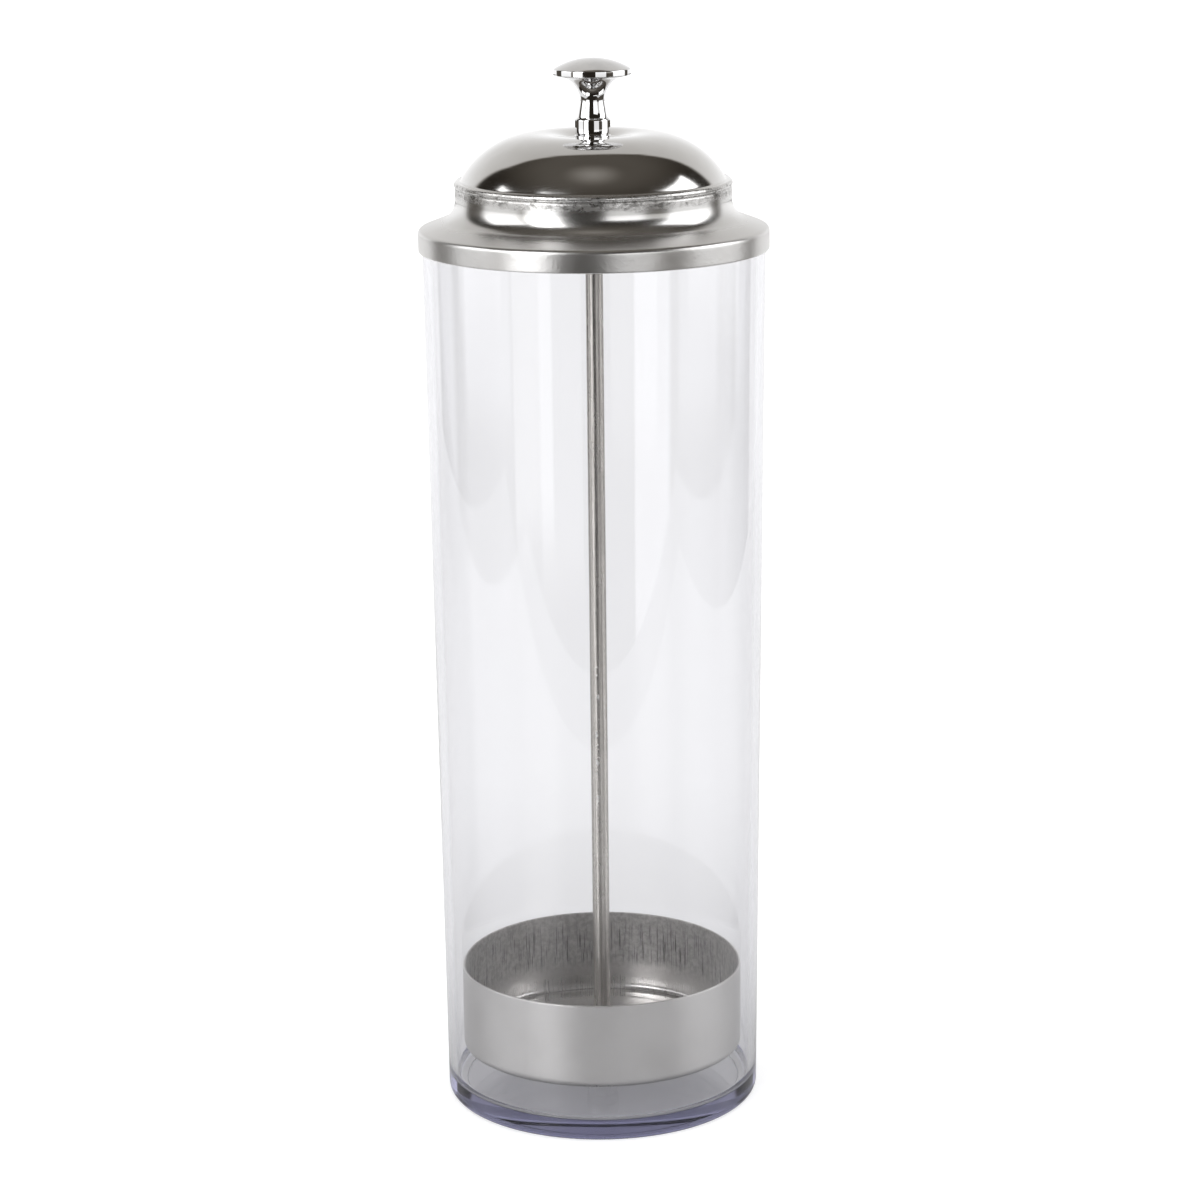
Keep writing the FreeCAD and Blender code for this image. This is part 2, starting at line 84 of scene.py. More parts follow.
def skin(name, radius, height, spokes, closed=False):
    """Surface of revolution, in metres from millimetres, as a mesh object.

    The grid has one row for each station of the section and one column for each spoke: a point
    at angle a is (radius cos a, radius sin a, height). A section whose ends lie on the axis is
    closed by a fan round one point at each end, and a closed section by joining last row to first.
    """
    angle = np.linspace(0, 2 * np.pi, spokes, endpoint=False)
    radius = np.broadcast_to(radius if radius.ndim == 2 else radius[:, None], (len(radius), spokes)) / 1000
    height = np.broadcast_to(height[:, None], radius.shape) / 1000
    rows = len(radius)
    if not closed:
        radius, height, tips = radius[1:-1], height[1:-1], height[[0, -1], 0]
        rows -= 2
    grid = np.stack([radius * np.cos(angle), radius * np.sin(angle), height], -1).reshape(-1, 3)
    ring = np.arange(rows * spokes).reshape(rows, spokes)
    lower, upper = (ring, np.roll(ring, -1, 0)) if closed else (ring[:-1], ring[1:])
    faces = np.stack([lower, np.roll(lower, -1, 1), np.roll(upper, -1, 1), upper], -1).reshape(-1, 4).tolist()
    if not closed:
        grid = np.vstack([grid, [[0, 0, tips[0]], [0, 0, tips[1]]]])
        foot = np.full(spokes, rows * spokes)
        faces += np.stack([foot, np.roll(ring[0], -1), ring[0]], -1).tolist()
        faces += np.stack([foot + 1, ring[-1], np.roll(ring[-1], -1)], -1).tolist()
    mesh = bpy.data.meshes.new(name)
    mesh.from_pydata(grid.tolist(), [], faces)
    mesh.polygons.foreach_set("use_smooth", np.ones(len(faces), bool))
    piece = bpy.data.objects.new(name, mesh)
    bpy.context.scene.collection.objects.link(piece)
    return piece


def node(tree, kind, inputs=None, **settings):
    """Add one shader node. Each input is a plain value, or the output of an earlier node."""
    made = tree.nodes.new(kind)
    for key, value in settings.items():
        setattr(made, key, value)
    for key, value in (inputs or {}).items():
        if isinstance(value, bpy.types.NodeSocket):
            tree.links.new(value, made.inputs[key])
        else:
            made.inputs[key].default_value = value
    return made


def calc(tree, operation, *values):
    """One Math node's result: the operation on up to three numbers or sockets."""
    return node(tree, "ShaderNodeMath", dict(enumerate(values)), operation=operation).outputs[0]


def ramp(tree, value, low, high, bottom=0.0, top=1.0):
    """Smooth step of a value, from bottom at low to top at high."""
    inputs = {"Value": value, "From Min": low, "From Max": high, "To Min": bottom, "To Max": top}
    return node(tree, "ShaderNodeMapRange", inputs, interpolation_type="SMOOTHSTEP").outputs[0]


def noise(tree, place, scale, detail=2.0, rough=0.5):
    """Fractal noise from 0 to 1 at a place in metres, with features of about 1 / scale."""
    inputs = {"Vector": place, "Scale": scale, "Detail": detail, "Roughness": rough}
    return node(tree, "ShaderNodeTexNoise", inputs).outputs["Fac"]


def stretched(tree, place, share):
    """The place with its height scaled by share: below 1, a pattern on it is drawn out upright."""
    return node(tree, "ShaderNodeMapping", {"Vector": place, "Scale": (1, 1, share)}).outputs[0]


def new_finish(name):
    """A material with its node tree emptied, and a Principled shader wired to the output."""
    material = bpy.data.materials.new(name)
    material.use_nodes = True
    tree = material.node_tree
    tree.nodes.clear()
    output = node(tree, "ShaderNodeOutputMaterial")
    shader = node(tree, "ShaderNodeBsdfPrincipled")
    tree.links.new(shader.outputs[0], output.inputs["Surface"])
    return material, tree, shader, output


def make_clear_plastic():
    """Clear plastic with a slight violet body, flow waves, and upright rubs from lifting the cup out."""
    material, tree, shader, output = new_finish("clear moulded plastic")
    place = node(tree, "ShaderNodeTexCoord").outputs["Object"]
    shader.inputs["Base Color"].default_value = (1, 1, 1, 1)
    shader.inputs["Transmission Weight"].default_value = 1.0
    shader.inputs["IOR"].default_value = 1.5
    rubs = ramp(tree, noise(tree, stretched(tree, place, 0.06), 420, 5, 0.65), 0.50, 0.78)
    worn = ramp(tree, noise(tree, place, 26, 3), 0.42, 0.62)
    haze = calc(tree, "MULTIPLY_ADD", calc(tree, "MULTIPLY", rubs, worn), 0.10, 0.012)
    tree.links.new(haze, shader.inputs["Roughness"])
    flow = noise(tree, stretched(tree, place, 0.35), 28, 1)
    waves = node(tree, "ShaderNodeBump", {"Height": flow, "Distance": 0.0002, "Strength": 0.25})
    tree.links.new(waves.outputs[0], shader.inputs["Normal"])
    # A shadow ray goes straight through, dimmed a little at each surface.
    shadow = node(tree, "ShaderNodeLightPath").outputs["Is Shadow Ray"]
    through = node(tree, "ShaderNodeBsdfTransparent", {"Color": (0.93, 0.93, 0.94, 1)}).outputs[0]
    mix = node(tree, "ShaderNodeMixShader", {0: shadow, 1: shader.outputs[0], 2: through})
    tree.links.new(mix.outputs[0], output.inputs["Surface"])
    body = node(tree, "ShaderNodeVolumeAbsorption", {"Color": (0.50, 0.50, 0.64, 1), "Density": 37.0})
    tree.links.new(body.outputs[0], output.inputs["Volume"])
    return material


jar_height = 259.3
jar_floor = 5.5  # height of the floor's upper side
hollow_radius = 41.0
hollow_depth = 0.8
jar_path = half_section([
    (0, hollow_depth, 0),
    (hollow_radius, hollow_depth, 0.35),
    (hollow_radius, 0, 0.35),
    (46.25, 0, 2.6),
    (48.95, jar_height, 0.8),
    (46.45, jar_height, 0.8),
    (43.807, jar_floor, 3.0),
    (0, jar_floor, 0),
])
jar = skin("clear_jar", jar_path[:, 0], jar_path[:, 1], spokes=256)
jar.data.materials.append(make_clear_plastic())
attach(jar, "jar")
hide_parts("jar")

# ---- cup ----------------------------------------------------------------------------------
# The cup that holds the foot of the straws is drawn from stainless sheet in one stroke. The
# punch leaves upright draw marks inside the wall, and the middle of its floor is raised.


def around(tree, place):
    """Unit direction from the axis to a place, so that a pattern on it has no seam."""
    flat = node(tree, "ShaderNodeVectorMath", {0: place, 1: (1, 1, 0)}, operation="MULTIPLY").outputs[0]
    return node(tree, "ShaderNodeVectorMath", {0: flat}, operation="NORMALIZE").outputs[0]


def axis_distance(tree, place):
    """Distance of a place from the axis, in metres."""
    flat = node(tree, "ShaderNodeVectorMath", {0: place, 1: (1, 1, 0)}, operation="MULTIPLY").outputs[0]
    return node(tree, "ShaderNodeVectorMath", {0: flat}, operation="LENGTH").outputs["Value"]


def rings_and_height(tree, place):
    """The place turned into (distance from the axis, 0, height): a pattern on it runs in rings."""
    height = node(tree, "ShaderNodeSeparateXYZ", {0: place}).outputs["Z"]
    return node(tree, "ShaderNodeCombineXYZ", {"X": axis_distance(tree, place), "Z": height}).outputs[0]


def streaks(tree, place, count, length):
    """Noise that runs up and down the wall: about count streaks round it, of that length in metres.

    The way round a circle of radius 1 is 6.3, so a scale of count / 6.3 puts count streaks on it.
    """
    height = node(tree, "ShaderNodeSeparateXYZ", {0: place}).outputs["Z"]
    drawn_out = calc(tree, "DIVIDE", height, length * count / 6.3)
    rise = node(tree, "ShaderNodeCombineXYZ", {"Z": drawn_out}).outputs[0]
    where = node(tree, "ShaderNodeVectorMath", {0: around(tree, place), 1: rise}, operation="ADD").outputs[0]
    return noise(tree, where, count / 6.3, 3, 0.6)


def blend(tree, share, first, second):
    """Colour between first and second, plain colours or sockets, by share from 0 to 1."""
    inputs = {0: share, 6: first, 7: second}
    return node(tree, "ShaderNodeMix", inputs, data_type="RGBA").outputs[2]


def bump(tree, height, depth, under=None):
    """Normal of a surface raised by height, 0 to 1, times depth in metres."""
    inputs = {"Height": height, "Distance": depth, "Strength": 1.0}
    if under is not None:
        inputs["Normal"] = under
    return node(tree, "ShaderNodeBump", inputs).outputs[0]


def make_cup_steel(low, wall_reach):
    """Satin drawn steel, dull and scored inside the wall above its foot, polished on the floor; painted shade
    darkens the inner wall.
    """
    material, tree, shader, _ = new_finish("satin drawn steel")
    place = node(tree, "ShaderNodeTexCoord").outputs["Object"]
    reach = axis_distance(tree, place)
    height = node(tree, "ShaderNodeSeparateXYZ", {0: place}).outputs["Z"]
    on_wall = ramp(tree, reach, wall_reach - 0.003, wall_reach - 0.0015)
    inside = calc(tree, "MULTIPLY", on_wall, ramp(tree, reach, wall_reach - 0.0003, wall_reach - 0.0005))
    scored = calc(tree, "MULTIPLY", inside, ramp(tree, height, low + 0.004, low + 0.012))
    over_foot = ramp(tree, height, low + 0.006, low + 0.012)
    middle = calc(tree, "MULTIPLY", over_foot, ramp(tree, height, low + 0.025, low + 0.019))
    marks = calc(tree, "MULTIPLY", middle, ramp(tree, streaks(tree, place, 520, 0.011), 0.50, 0.66))
    marks = calc(tree, "MULTIPLY", scored, marks)
    mottle = noise(tree, place, 700, 4, 0.6)
    fine = streaks(tree, place, 1600, 0.03)
    rings = noise(tree, rings_and_height(tree, place), 900, 3, 0.7)
    clouds = noise(tree, place, 60, 4)
    shader.inputs["Metallic"].default_value = 1.0
    tone = blend(tree, ramp(tree, clouds, 0.3, 0.7), (0.63, 0.62, 0.605, 1), (0.68, 0.67, 0.655, 1))
    tone = blend(tree, on_wall, (0.84, 0.83, 0.815, 1), tone)
    # Painted shade: the wall's inner side is given a darker colour than its outside.
    tone = blend(tree, inside, tone, (0.57, 0.555, 0.54, 1))
    # Mottled painted shade darkens the scored part of the inner wall further; the draw marks below are real.
    painted_shade_in_wall = calc(tree, "MULTIPLY", scored, ramp(tree, mottle, 0.35, 0.65, 0.2, 0.7))
    tone = blend(tree, painted_shade_in_wall, tone, (0.28, 0.265, 0.25, 1))
    tone = blend(tree, marks, tone, (0.15, 0.143, 0.137, 1))
    tree.links.new(tone, shader.inputs["Base Color"])
    floor_gloss = ramp(tree, rings, 0.3, 0.7, 0.05, 0.12)
    wall_gloss = calc(tree, "MULTIPLY_ADD", inside, -0.10, ramp(tree, fine, 0.3, 0.7, 0.36, 0.42))
    wall_gloss = calc(tree, "MULTIPLY_ADD", scored, 0.22, wall_gloss)
    gloss = calc(tree, "MULTIPLY_ADD", on_wall, calc(tree, "SUBTRACT", wall_gloss, floor_gloss), floor_gloss)
    tree.links.new(gloss, shader.inputs["Roughness"])
    floor_rings = calc(tree, "MULTIPLY", rings, calc(tree, "SUBTRACT", 1.0, on_wall))
    normal = bump(tree, floor_rings, 0.00002)
    normal = bump(tree, marks, 0.00003, normal)
    normal = bump(tree, calc(tree, "MULTIPLY", mottle, scored), 0.00004, normal)
    tree.links.new(normal, shader.inputs["Normal"])
    return material


cup_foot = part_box("straw_cup")[0][2] * 1000
cup_radius = 41.6
cup_sheet = 0.8
cup_inside = cup_radius - cup_sheet
cup_height = 25.5
plateau = 1.0  # rise of the middle of the floor
hole_radius = 2.65  # plain hole that the rod passes
cup_path = half_section([
    (hole_radius, plateau, 0.1),
    (31.5, plateau, 0.4),
    (32.5, 0, 0.4),
    (cup_radius, 0, 2.6),
    (cup_radius, cup_height, 0.3),
    (cup_inside, cup_height, 0.3),
    (cup_inside, cup_sheet, 1.8),
    (32.83, cup_sheet, 0.4),
    (31.83, plateau + cup_sheet, 0.4),
    (hole_radius, plateau + cup_sheet, 0.1),
], stride=2.5)
cup = skin("drawn_cup", cup_path[:, 0], cup_path[:, 1] + cup_foot, spokes=240, closed=True)
cup.data.materials.append(make_cup_steel(cup_foot / 1000, cup_radius / 1000))
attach(cup, "carrier")
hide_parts("straw_cup")

# ---- rod ----------------------------------------------------------------------------------
# The rod is a length of bright drawn 5 mm bar. Both ends carry a rolled M5 thread, which the
# nuts at the cup, the nut under the lid and the knob screw on to.


def thread_depth(angle, height, pitch, depth, low, high):
    """Depth of a rolled thread: a rounded V once per pitch and turn, faded out over one pitch."""
    phase = height[:, None] / pitch + angle[None, :] / (2 * np.pi)
    valley = 0.5 + 0.5 * np.cos(2 * np.pi * phase)
    run_out = np.clip((height - low) / pitch, 0, 1) * np.clip((high - height) / pitch, 0, 1)
    return depth * valley ** 0.8 * run_out[:, None]


def make_rod_steel():
    """Drawn and ground bar: grinding rings too fine to see stretch each reflection along it.

    A row of small chips runs down the front, below the middle, their whiter colour a painted glint.
    """
    material, tree, shader, _ = new_finish("bright drawn bar")
    place = node(tree, "ShaderNodeTexCoord").outputs["Object"]
    lines = streaks(tree, place, 90, 0.05)
    patches = noise(tree, stretched(tree, place, 0.3), 260, 4)
    side, front, height = node(tree, "ShaderNodeSeparateXYZ", {0: place}).outputs
    strip = 1.0
    for way, outside, within in (
            (side, -0.0012, -0.0008), (side, 0.0002, -0.0002), (front, 0.0, -0.001),
            (height, 0.086, 0.094), (height, 0.137, 0.133)):
        strip = calc(tree, "MULTIPLY", strip, ramp(tree, way, outside, within))
    chips_and_painted_glints = calc(tree, "MULTIPLY", strip, ramp(tree, noise(tree, place, 480, 3), 0.55, 0.61))
    shader.inputs["Metallic"].default_value = 1.0
    tone = blend(tree, ramp(tree, lines, 0.35, 0.7), (0.67, 0.645, 0.61, 1), (0.42, 0.40, 0.37, 1))
    # The chips are real, rougher and dented; their near-white colour is a painted glint.
    tone = blend(tree, chips_and_painted_glints, tone, (0.9, 0.9, 0.88, 1))
    tree.links.new(tone, shader.inputs["Base Color"])
    gloss = calc(tree, "MULTIPLY_ADD", chips_and_painted_glints, 0.3, ramp(tree, patches, 0.35, 0.7, 0.20, 0.29))
    tree.links.new(gloss, shader.inputs["Roughness"])
    round_it = node(tree, "ShaderNodeTangent", direction_type="RADIAL", axis="Z").outputs[0]
    tree.links.new(round_it, shader.inputs["Tangent"])
    shader.inputs["Anisotropic"].default_value = 0.95
    shader.inputs["Anisotropic Rotation"].default_value = 0.25
    normal = bump(tree, lines, 0.00003)
    normal = bump(tree, chips_and_painted_glints, 0.00006, normal)
    tree.links.new(normal, shader.inputs["Normal"])
    return material


rod_low, rod_high = (corner[2] * 1000 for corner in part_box("lift_rod"))
rod_radius = 2.5
rod_chamfer = 0.5
rod_turns = np.linspace(0, 2 * np.pi, 48, endpoint=False)
# The rows are close along the two threads and far apart on the plain bar between them.
rod_rows = np.concatenate([
    [rod_low, rod_low],
    np.arange(rod_low + 0.1, 25.0, 0.1),
    np.arange(26.0, 272.0, 8.0),
    np.arange(272.5, rod_high - 0.05, 0.1),
    [rod_high, rod_high],
])
pitch = 0.8
groove = 0.42
rod_cut = thread_depth(rod_turns, rod_rows, pitch, groove, rod_low - pitch, 24.4)
rod_cut += thread_depth(rod_turns, rod_rows, pitch, groove, 273.0, rod_high + pitch)
to_end = np.minimum(rod_rows - rod_low, rod_high - rod_rows)
rod_end = rod_radius - np.clip(rod_chamfer - to_end, 0, rod_chamfer)
rod_skin = np.minimum(rod_radius - rod_cut, rod_end[:, None])
rod_skin[[0, -1]] = 0
rod = skin("threaded_rod", rod_skin, rod_rows, spokes=48)
rod.data.materials.append(make_rod_steel())
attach(rod, "carrier")
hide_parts("lift_rod")

# ---- nuts and washers ---------------------------------------------------------------------
# Three M5 nuts, three flat washers and two spring lock washers clamp the cup and the lid on
# the rod's ends. They are plain stainless stock parts, turned and punched.


def make_fastener_steel():
    """Plain stainless: faint turning rings, handling marks and duller patches."""
    material, tree, shader, _ = new_finish("plain fastener steel")
    place = node(tree, "ShaderNodeTexCoord").outputs["Object"]
    rings = noise(tree, rings_and_height(tree, place), 1800, 2)
    patches = noise(tree, place, 500, 4)
    shader.inputs["Metallic"].default_value = 1.0
    tone = blend(tree, ramp(tree, patches, 0.3, 0.7), (0.62, 0.61, 0.60, 1), (0.72, 0.715, 0.71, 1))
    tree.links.new(tone, shader.inputs["Base Color"])
    tree.links.new(ramp(tree, patches, 0.3, 0.7, 0.34, 0.46), shader.inputs["Roughness"])
    tree.links.new(bump(tree, rings, 0.00002), shader.inputs["Normal"])
    return material


fastener_steel = make_fastener_steel()
for name in ("rod_nuts", "rod_washers", "rod_lock_washers"):
    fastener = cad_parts[name]
    for slot in fastener.material_slots:
        slot.material = fastener_steel

# ---- lid ----------------------------------------------------------------------------------
# The lid is one stainless pressing, finished on a spinning lathe and polished: a band round the
# jar's mouth, a sloping shoulder, a cove, an upright wall, a bead and a dome with a dished top.


def arc(middle, reach, start, end, count):
    """Rows of radius, height and no round along an arc, by angle in degrees up from level."""
    turn = np.radians(np.linspace(start, end, count))
    out = middle[0] + reach * np.cos(turn)
    rise = middle[1] + reach * np.sin(turn)
    return np.column_stack([out, rise, np.zeros(count)])


def make_polished_steel(foot):
    """Polished pressing: spinning rings, hairline scratches, scuffs where the die gripped the wall.

    Above the lid's foot, in metres, the band ends at 0.006, the cove runs into the upright wall at
    0.0142, and the bead on top of the wall ends at 0.0196.
    """
    material, tree, shader, _ = new_finish("polished pressed steel")
    place = node(tree, "ShaderNodeTexCoord").outputs["Object"]
    height = node(tree, "ShaderNodeSeparateXYZ", {0: place}).outputs["Z"]
    rings = noise(tree, rings_and_height(tree, place), 1500, 3, 0.6)
    slant = {"Vector": place, "Rotation": (0.3, 0.5, 0.4), "Scale": (1, 0.06, 0.3)}
    hairs = noise(tree, node(tree, "ShaderNodeMapping", slant).outputs[0], 2600, 2)
    smudge = noise(tree, place, 55, 4)
    level = stretched(tree, place, 2.2)
    grain = noise(tree, place, 900, 3, 0.65)
    wander = calc(tree, "MULTIPLY", noise(tree, level, 150, 3), 0.0024)
    edge = calc(tree, "SUBTRACT", height, wander)
    on_wall = calc(tree, "MULTIPLY", ramp(tree, edge, foot + 0.0138, foot + 0.0152),
                   ramp(tree, height, foot + 0.0196, foot + 0.0192))
    on_band = ramp(tree, height, foot + 0.0062, foot + 0.0052)
    scuffed = calc(tree, "MULTIPLY", on_wall, ramp(tree, grain, 0.40, 0.64, 0.25, 1.0))
    specks = calc(tree, "MULTIPLY", on_wall, ramp(tree, noise(tree, level, 330, 4, 0.6), 0.50, 0.66))
    dented = calc(tree, "MULTIPLY", on_band, ramp(tree, noise(tree, place, 500, 4, 0.7), 0.45, 0.7))
    shader.inputs["Metallic"].default_value = 1.0
    tone = blend(tree, ramp(tree, smudge, 0.3, 0.7), (0.70, 0.69, 0.68, 1), (0.76, 0.755, 0.75, 1))
    tone = blend(tree, calc(tree, "MULTIPLY", scuffed, 0.45), tone, (0.40, 0.39, 0.38, 1))
    tone = blend(tree, calc(tree, "MULTIPLY", specks, 0.75), tone, (0.14, 0.136, 0.13, 1))
    tree.links.new(tone, shader.inputs["Base Color"])
    gloss = ramp(tree, smudge, 0.3, 0.7, 0.06, 0.085)
    gloss = calc(tree, "ADD", gloss, ramp(tree, height, foot + 0.030, foot + 0.0200, 0.0, 0.06))
    gloss = calc(tree, "ADD", gloss, ramp(tree, height, foot + 0.0200, foot + 0.0190, 0.0, 0.08))
    gloss = calc(tree, "MULTIPLY_ADD", scuffed, 0.18, gloss)
    gloss = calc(tree, "ADD", gloss, ramp(tree, height, foot + 0.0110, foot + 0.0070, 0.0, 0.08))
    tree.links.new(gloss, shader.inputs["Roughness"])
    normal = bump(tree, rings, 0.000002)
    normal = bump(tree, hairs, 0.000001, normal)
    normal = bump(tree, scuffed, 0.00001, normal)
    normal = bump(tree, dented, 0.000012, normal)
    tree.links.new(normal, shader.inputs["Normal"])
    return material


lid_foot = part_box("lid")[0][2] * 1000
lid_sheet = 0.8
shoulder_tilt = np.radians(21.0)
slope = np.tan(shoulder_tilt)
lid_drop = lid_sheet / np.cos(shoulder_tilt)
band_radius = 50.0
band_corner = 5.96
wall_radius = 39.3
wall_height = 7.63
wall_foot = band_corner + (band_radius - wall_radius) * slope
bead_stand = 0.2  # how far the bead stands out past the wall
bead_bulge = 0.55  # how far its section swells past its edges
bead_half = 0.95  # half its height
bead_foot = wall_foot + wall_height
bead_top = bead_foot + 2 * bead_half
bead_edge = wall_radius + bead_stand - bead_bulge
bead_round = (bead_half ** 2 + bead_bulge ** 2) / (2 * bead_bulge)
bead_middle = (wall_radius + bead_stand - bead_round, bead_foot + bead_half)
bead_turn = np.degrees(np.arcsin(bead_half / bead_round))
crown_radius = 15.6
dome_height = 13.2
dome_ledge = 1.16  # from the bead in to the dome's foot
crown = bead_top + dome_height
dome_foot = bead_edge - dome_ledge
dome_reach = ((dome_foot - crown_radius) ** 2 + dome_height ** 2) / (2 * dome_height)
dome_middle = (crown_radius, crown - dome_reach)
dome_start = np.degrees(np.arccos((dome_foot - crown_radius) / dome_reach))
dish_depth = 1.4
dish_flat = 7.0
dish_reach = ((crown_radius - dish_flat) ** 2 + dish_depth ** 2) / (2 * dish_depth)
dish_middle = (crown_radius, crown - dish_reach)
dish_end = 90 + np.degrees(np.arcsin((crown_radius - dish_flat) / dish_reach))
dome_inner = dome_reach - lid_sheet
dome_inner_start = np.degrees(np.arcsin((bead_top - lid_sheet - dome_middle[1]) / dome_inner))
dish_inner = dish_reach - lid_sheet
dish_inner_end = 180 - np.degrees(np.arcsin((crown - dish_depth - lid_sheet - dish_middle[1]) / dish_inner))
inner_dome = arc(dome_middle, dome_inner, dome_inner_start, 90, 36)[::-1]
inner_dome[-1, 2] = 0.5
inner_dish = arc(dish_middle, dish_inner, 90, dish_inner_end, 10)[::-1]
inner_dish[0, 2] = 2.5
outer_dome = arc(dome_middle, dome_reach, dome_start, 90, 40)
outer_dome[0, 2] = 0.5
outer_dish = arc(dish_middle, dish_reach, 90, dish_end, 10)
outer_dish[-1, 2] = 2.5
lid_path = half_section(np.vstack([
    [(band_radius - lid_sheet, 0, 0.25), (band_radius, 0, 0.25), (band_radius, band_corner, 1.3)],
    [(wall_radius, wall_foot, 6.0), (wall_radius, bead_foot - 0.4, 0.2)],
    arc(bead_middle, bead_round, -bead_turn, bead_turn, 14),
    outer_dome,
    outer_dish[1:],
    [(hole_radius, crown - dish_depth, 0.1), (hole_radius, crown - dish_depth - lid_sheet, 0.1)],
    inner_dish[:-1],
    inner_dome,
    [(wall_radius - lid_sheet, bead_top - lid_sheet, 0.3)],
    [(wall_radius - lid_sheet, wall_foot - lid_drop + lid_sheet * slope, 6.8)],
    [(band_radius - lid_sheet, band_corner - lid_drop + lid_sheet * slope, 0.5)],
]), stride=3.0)
lid = skin("pressed_lid", lid_path[:, 0], lid_path[:, 1] + lid_foot, spokes=240, closed=True)
lid.data.materials.append(make_polished_steel(lid_foot / 1000))
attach(lid, "carrier")
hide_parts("lid")

# ---- knob and its ring --------------------------------------------------------------------
# The knob is turned from bar and chrome plated: a straight collar, a waisted neck, and a flared
# head with a low round top. It screws down on the rod and bears on a thin plated ring.


def make_chrome():
    """Mirror plating with a faint orange-peel ripple and soft finger marks."""
    material, tree, shader, _ = new_finish("mirror chrome plate")
    place = node(tree, "ShaderNodeTexCoord").outputs["Object"]
    marks = noise(tree, place, 240, 4)
    shader.inputs["Metallic"].default_value = 1.0
    tone = blend(tree, ramp(tree, marks, 0.3, 0.7), (0.80, 0.80, 0.81, 1), (0.86, 0.86, 0.865, 1))
    tree.links.new(tone, shader.inputs["Base Color"])
    tree.links.new(ramp(tree, marks, 0.45, 0.75, 0.025, 0.08), shader.inputs["Roughness"])
    tree.links.new(bump(tree, noise(tree, place, 500, 1), 0.000003), shader.inputs["Normal"])
    return material


chrome = make_chrome()
knob_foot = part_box("knob")[0][2] * 1000
neck_radius = 3.5
neck_height = 9.4
flare_round = 7.2
head_radius = 11.0
head_crown = 3.1  # rise of the rounded top
knob_top = 21.55
bore_radius = 2.25
bore_depth = 10.0
collar_radius = 5.0
flare = arc((neck_radius + flare_round, neck_height), flare_round, 180, 90, 26)
head_reach = (head_radius ** 2 + head_crown ** 2) / (2 * head_crown)
head_start = np.degrees(np.arccos(head_radius / head_reach))
head = arc((0, knob_top - head_reach), head_reach, head_start, 90, 24)
head[0, 2] = 0.35
knob_path = half_section(np.vstack([
    [(bore_radius, bore_depth, 0.05), (bore_radius, 0.35, 0.05), (2.6, 0, 0.05), (4.75, 0, 0.05)],
    [(collar_radius, 0.25, 0.05), (collar_radius, 4.4, 0.12), (4.3, 4.75, 0.2)],
    flare,
    [(head_radius, 16.6, 0.35)],
    head,
    [(0, bore_depth, 0)],
]), stride=1.5)
# The section runs down the bore, out, up the outside and back to the axis at the bore's blind end.
bore_end = np.flatnonzero(knob_path[:, 0] < 1e-6)[0]
knob_path = np.vstack([[(0, bore_depth)], knob_path[:bore_end + 1]])
knob = skin("turned_knob", knob_path[:, 0], knob_path[:, 1] + knob_foot, spokes=128)
knob.data.materials.append(chrome)
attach(knob, "carrier")
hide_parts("knob")

ring_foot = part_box("knob_seat_ring")[0][2] * 1000
ring_radius = 5.2
ring_height = 0.9
ring_path = half_section([
    (hole_radius, 0, 0.1),
    (ring_radius, 0, 0.2),
    (ring_radius, ring_height, 0.2),
    (hole_radius, ring_height, 0.1),
])
seat_ring = skin("knob_seat", ring_path[:, 0], ring_path[:, 1] + ring_foot, spokes=128, closed=True)
seat_ring.data.materials.append(chrome)
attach(seat_ring, "carrier")
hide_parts("knob_seat_ring")

# ---- table --------------------------------------------------------------------------------
# A plain white, half-gloss table top, so evenly lit that only a faint shadow shows round the foot.
# It is darker through the jar than directly, by a painted shadow round the foot and painted shade in mirrors,
# and in mirrors it has edges.

bpy.ops.mesh.primitive_circle_add(vertices=96, radius=12, fill_type="NGON")
table = bpy.context.object
table.name = "white_table"
material, tree, shader, output = new_finish("white table")
shader.inputs["Roughness"].default_value = 0.35
place = node(tree, "ShaderNodeTexCoord").outputs["Object"]
reach = axis_distance(tree, place)
path = node(tree, "ShaderNodeLightPath")
direct = path.outputs["Is Camera Ray"]
# Painted shadow: for every ray but the camera's, the table's colour and glow darken round the jar's foot.
painted_shadow_round_foot = ramp(tree, reach, 0.035, 0.060, 0.58, 0.78)
painted_table_shade = calc(tree, "ADD", painted_shadow_round_foot, ramp(tree, reach, 0.06, 0.35, 0.0, 0.14))
mirrored = calc(tree, "GREATER_THAN", path.outputs["Glossy Depth"], 0.5)
tree.links.new(calc(tree, "MULTIPLY", mirrored, 0.5), shader.inputs["Specular IOR Level"])
# Painted light and shade in mirrors: they show the table darker in front of the jar, and lighter behind it,
# where the wall's edges look. Light that passes the wall twice, as it does off steel inside the jar, finds it
# dark all over.
table_east, table_north, _ = node(tree, "ShaderNodeSeparateXYZ", {0: place}).outputs
painted_light_near_back = ramp(tree, table_north, -0.02, 0.13, 0.0, 0.25)
back = calc(tree, "ADD", painted_light_near_back, ramp(tree, table_north, 0.5, 1.0, 0.0, 0.09))
one_wall = calc(tree, "LESS_THAN", path.outputs["Transmission Depth"], 2.5)
painted_mirror_shade = calc(tree, "MULTIPLY_ADD", back, one_wall, -0.33)
painted_table_shade = calc(tree, "MULTIPLY", painted_table_shade, calc(tree, "MULTIPLY_ADD", mirrored, painted_mirror_shade, 1.0))
painted_table_shade = calc(tree, "MAXIMUM", painted_table_shade, direct)
grey = blend(tree, noise(tree, place, 3.0), (0.70, 0.70, 0.70, 1), (0.72, 0.72, 0.72, 1))
tree.links.new(blend(tree, painted_table_shade, (0, 0, 0, 1), grey), shader.inputs["Base Color"])
shader.inputs["Emission Color"].default_value = (1, 1, 1, 1)
